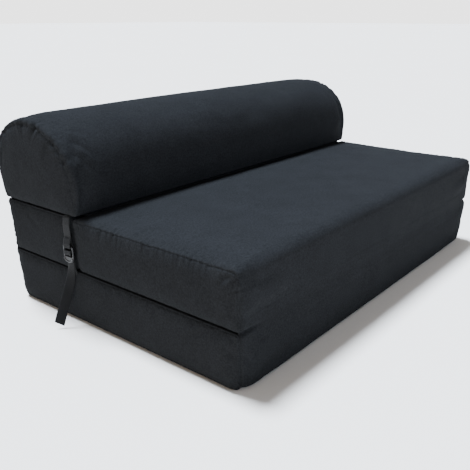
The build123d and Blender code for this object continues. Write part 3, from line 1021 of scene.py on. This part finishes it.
# ---------------------------------------------------------------- materials
class Material:
    """A node material with short calls for its nodes."""

    def __init__(self, name):
        self.material = bpy.data.materials.new(name)
        self.material.use_nodes = True
        self.tree = self.material.node_tree
        self.shader = self.tree.nodes["Principled BSDF"]
        self.where = self.node("ShaderNodeTexCoord").outputs["Object"]

    def node(self, kind, **settings):
        made = self.tree.nodes.new(kind)
        for key, value in settings.items():
            setattr(made, key, value)
        return made

    def feed(self, socket, value):
        if isinstance(value, bpy.types.NodeSocket):
            self.tree.links.new(value, socket)
        else:
            socket.default_value = value

    def math(self, operation, *values):
        made = self.node("ShaderNodeMath", operation=operation)
        for socket, value in zip(made.inputs, values):
            self.feed(socket, value)
        return made.outputs[0]

    def total(self, *terms):
        """Sum of values, each times its weight."""
        parts = [self.math("MULTIPLY", value, weight) for value, weight in terms]
        out = parts[0]
        for part in parts[1:]:
            out = self.math("ADD", out, part)
        return out

    def wave(self, value, pitch, shift=0.0):
        turns = self.math("MULTIPLY", value, TAU / pitch)
        return self.math("SINE", self.math("ADD", turns, shift))

    def noise(self, scale, detail=2.0, roughness=0.5, vector=None):
        made = self.node("ShaderNodeTexNoise")
        self.feed(made.inputs["Vector"], self.where if vector is None else vector)
        made.inputs["Scale"].default_value = scale
        made.inputs["Detail"].default_value = detail
        made.inputs["Roughness"].default_value = roughness
        return made.outputs["Fac"]

    def span(self, value, low, high, out_low=0.0, out_high=1.0):
        made = self.node("ShaderNodeMapRange")
        for socket, number in zip(made.inputs, (value, low, high, out_low, out_high)):
            self.feed(socket, number)
        return made.outputs[0]

    def colour(self, value, dark, light):
        made = self.node("ShaderNodeMix", data_type="RGBA")
        self.feed(made.inputs["Factor"], value)
        made.inputs["A"].default_value = (*dark, 1)
        made.inputs["B"].default_value = (*light, 1)
        return made.outputs["Result"]

    def bump(self, height, distance, strength=1.0, under=None):
        made = self.node("ShaderNodeBump")
        made.inputs["Distance"].default_value = distance
        made.inputs["Strength"].default_value = strength
        self.feed(made.inputs["Height"], height)
        if under is not None:
            self.feed(made.inputs["Normal"], under)
        return made.outputs["Normal"]

    def set(self, **values):
        for key, value in values.items():
            self.feed(self.shader.inputs[key.replace("_", " ")], value)

    def uv(self):
        made = self.node("ShaderNodeUVMap", uv_map="cloth")
        parts = self.node("ShaderNodeSeparateXYZ")
        self.tree.links.new(made.outputs[0], parts.inputs[0])
        return made.outputs[0], parts.outputs[0], parts.outputs[1]


def cover_material():
    """Charcoal plain weave, brushed soft, with a fine melange and faint mottling."""
    cloth = Material("charcoal_weave")
    uv, u, v = cloth.uv()
    pitch = 0.0011
    wobble = cloth.noise(60.0, 2.0, vector=uv)
    shift = cloth.span(wobble, 0.0, 1.0, -0.9, 0.9)
    cross = cloth.math("MULTIPLY", cloth.wave(u, pitch, shift), cloth.wave(v, pitch, shift))
    weave = cloth.span(cross, -1.0, 1.0)
    fibres = cloth.noise(2600.0, 3.0, 0.7)
    melange = cloth.noise(260.0, 4.0, 0.7)
    mottle = cloth.noise(16.0, 3.0, 0.55)
    broad = cloth.noise(3.2, 2.0, 0.5)
    tone = cloth.total((melange, 0.85), (mottle, 0.16), (broad, 0.09), (weave, 0.12))
    tone = cloth.span(tone, 0.38, 0.84)
    base = cloth.colour(tone, (0.0063, 0.0066, 0.0070), (0.0194, 0.0204, 0.0218))
    cloth.set(Base_Color=base, Metallic=0.0, IOR=1.45, Specular_IOR_Level=0.02)
    cloth.set(Roughness=cloth.span(fibres, 0.2, 0.8, 0.82, 0.96))
    height = cloth.total((weave, 0.7), (fibres, 0.5))
    lay = cloth.bump(cloth.noise(85.0, 4.0, 0.7), 0.0016, 0.40)
    cloth.set(Normal=cloth.bump(height, 0.00022, 0.6, lay))
    return cloth.material


def webbing_material():
    """Black polypropylene webbing: ribs along its length crossed by a fine chevron."""
    web = Material("black_webbing")
    _, u, v = web.uv()
    rib_pitch, pick_pitch = 0.0024, 0.0013
    bend = web.math("ABSOLUTE", web.wave(v, rib_pitch))
    picks = web.wave(u, pick_pitch, web.math("MULTIPLY", bend, 2.4))
    height = web.total((picks, 0.30), (bend, 0.55))
    fuzz = web.noise(1500.0, 3.0, 0.6)
    patchy = web.noise(45.0, 2.0, 0.5)
    tone = web.span(web.total((height, 0.35), (fuzz, 0.35), (patchy, 0.4)), 0.15, 0.85)
    web.set(Base_Color=web.colour(tone, (0.0030, 0.0031, 0.0034), (0.0092, 0.0093, 0.0099)),
            Roughness=web.span(fuzz, 0.2, 0.8, 0.55, 0.78), Specular_IOR_Level=0.10,
            Sheen_Weight=0.02, Sheen_Roughness=0.5)
    web.set(Normal=web.bump(height, 0.00035, 0.7))
    return web.material


def plastic_material():
    """Black acetal buckle: satin gloss with fine mould grain and rubbed patches scattered at random."""
    hard = Material("buckle_acetal")
    grain = hard.noise(1800.0, 2.0, 0.5)
    rub = hard.noise(160.0, 4.0, 0.65)
    hard.set(Base_Color=hard.colour(hard.span(rub, 0.35, 0.75), (0.007, 0.007, 0.0075),
                                    (0.017, 0.017, 0.018)),
             Roughness=hard.span(rub, 0.3, 0.8, 0.24, 0.42), Specular_IOR_Level=0.32)
    hard.set(Normal=hard.bump(grain, 0.00004, 0.5))
    return hard.material


def tape_material():
    """Black knitted zip tape."""
    tape = Material("zip_tape_knit")
    row_pitch, pick_pitch = 0.0011, 0.0008
    parts = tape.node("ShaderNodeSeparateXYZ")
    tape.feed(parts.inputs[0], tape.where)
    height = tape.total((tape.wave(parts.outputs[2], row_pitch), 1.0),
                        (tape.wave(parts.outputs[0], pick_pitch), 0.5))
    fuzz = tape.noise(1400.0, 3.0, 0.6)
    tape.set(Base_Color=tape.colour(tape.span(fuzz, 0.25, 0.75), (0.007, 0.007, 0.0078),
                                    (0.019, 0.019, 0.021)),
             Roughness=tape.span(fuzz, 0.2, 0.8, 0.7, 0.9), Specular_IOR_Level=0.15)
    tape.set(Normal=tape.bump(height, 0.0002, 0.5))
    return tape.material


def coil_material():
    """Black nylon coil, a little worn."""
    coil = Material("nylon_coil")
    worn = coil.noise(300.0, 3.0, 0.6)
    coil.set(Base_Color=coil.colour(worn, (0.010, 0.010, 0.011), (0.022, 0.022, 0.024)),
             Roughness=coil.span(worn, 0.2, 0.8, 0.32, 0.5), Specular_IOR_Level=0.4)
    return coil.material


def metal_material():
    """Gunmetal enamel on cast zinc, rubbed through in patches scattered at random."""
    metal = Material("gunmetal")
    rub = metal.noise(420.0, 4.0, 0.65)
    fine = metal.noise(2400.0, 2.0, 0.5)
    metal.set(Base_Color=metal.colour(metal.span(rub, 0.45, 0.75), (0.035, 0.036, 0.040),
                                      (0.16, 0.16, 0.165)),
              Metallic=0.9, Roughness=metal.span(fine, 0.2, 0.8, 0.28, 0.46))
    metal.set(Normal=metal.bump(fine, 0.00003, 0.5))
    return metal.material


def assign(obj, material):
    obj.data.materials.clear()
    obj.data.materials.append(material)


TAPE = tape_material()
METAL = metal_material()
FINISHES = {
    "cover_cloth": cover_material(),
    "webbing": webbing_material(),
    "buckle_plastic": plastic_material(),
    "zip_tape": TAPE,
    "zip_coil": coil_material(),
    "zip_metal": METAL,
}
for obj in list(bpy.context.scene.objects):
    if obj.type == "MESH" and obj.get("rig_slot") in FINISHES:
        assign(obj, FINISHES[obj["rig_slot"]])
for node_name, node in frame["nodes"].items():
    if node_name.endswith("_zip_tape"):
        assign(node, TAPE)
    elif node_name.endswith(("_zip_stops", "_zip_slider", "_zip_pull")):
        assign(node, METAL)
        node.data.polygons.foreach_set("use_smooth", [False] * len(node.data.polygons))


# ---------------------------------------------------------------- floor and light
def floor_material():
    floor = Material("studio_floor")
    faint = floor.noise(0.6, 2.0, 0.5)
    floor.set(Base_Color=floor.colour(faint, (0.88, 0.825, 0.755), (0.91, 0.855, 0.785)), Roughness=0.85,
              Specular_IOR_Level=0.1)
    return floor.material


FLOOR = 60.0              # half the floor's side
floor = make_mesh("floor", [(-FLOOR, -FLOOR, 0), (FLOOR, -FLOOR, 0), (FLOOR, FLOOR, 0), (-FLOOR, FLOOR, 0)],
                  [(0, 1, 2, 3)], [(0, 0), (1, 0), (1, 1), (0, 1)], smooth=False)
assign(floor, floor_material())


def sun(name, strength, colour, towards, angle):
    """A broad light that comes from the given direction."""
    lamp = bpy.data.lights.new(name, "SUN")
    lamp.energy = strength
    lamp.color = colour
    lamp.angle = math.radians(angle)
    obj = add_object(name, lamp)
    obj.rotation_euler = Vector(towards).to_track_quat("Z", "Y").to_euler()


sun("overhead_light", 12.1, (0.86, 0.975, 1.14), (0.03, 0.32, 1.0), 14)
sun("left_light", 0.36, (1.0, 0.68, 0.42), (-1.0, 0.05, 0.30), 40)
sun("front_light", 1.5, (0.78, 0.95, 1.25), (0.20, -1.0, 0.10), 50)

# White surroundings, bright at the horizon and dimmer overhead.
HORIZON, OVERHEAD = 0.04, 0.16
HORIZON_STRENGTH, OVERHEAD_STRENGTH = 2.9, 0.35

world = bpy.data.worlds.new("studio")
bpy.context.scene.world = world
world.use_nodes = True
tree = world.node_tree
back = tree.nodes["Background"]
where = tree.nodes.new("ShaderNodeTexCoord")
split = tree.nodes.new("ShaderNodeSeparateXYZ")
ramp = tree.nodes.new("ShaderNodeMapRange")
tree.links.new(where.outputs["Generated"], split.inputs[0])
tree.links.new(split.outputs[2], ramp.inputs[0])
ramp_numbers = (HORIZON, OVERHEAD, HORIZON_STRENGTH, OVERHEAD_STRENGTH)
for socket, number in zip(list(ramp.inputs)[1:5], ramp_numbers):
    socket.default_value = number
tree.links.new(ramp.outputs[0], back.inputs["Strength"])
back.inputs["Color"].default_value = (1.0, 1.0, 1.0, 1.0)
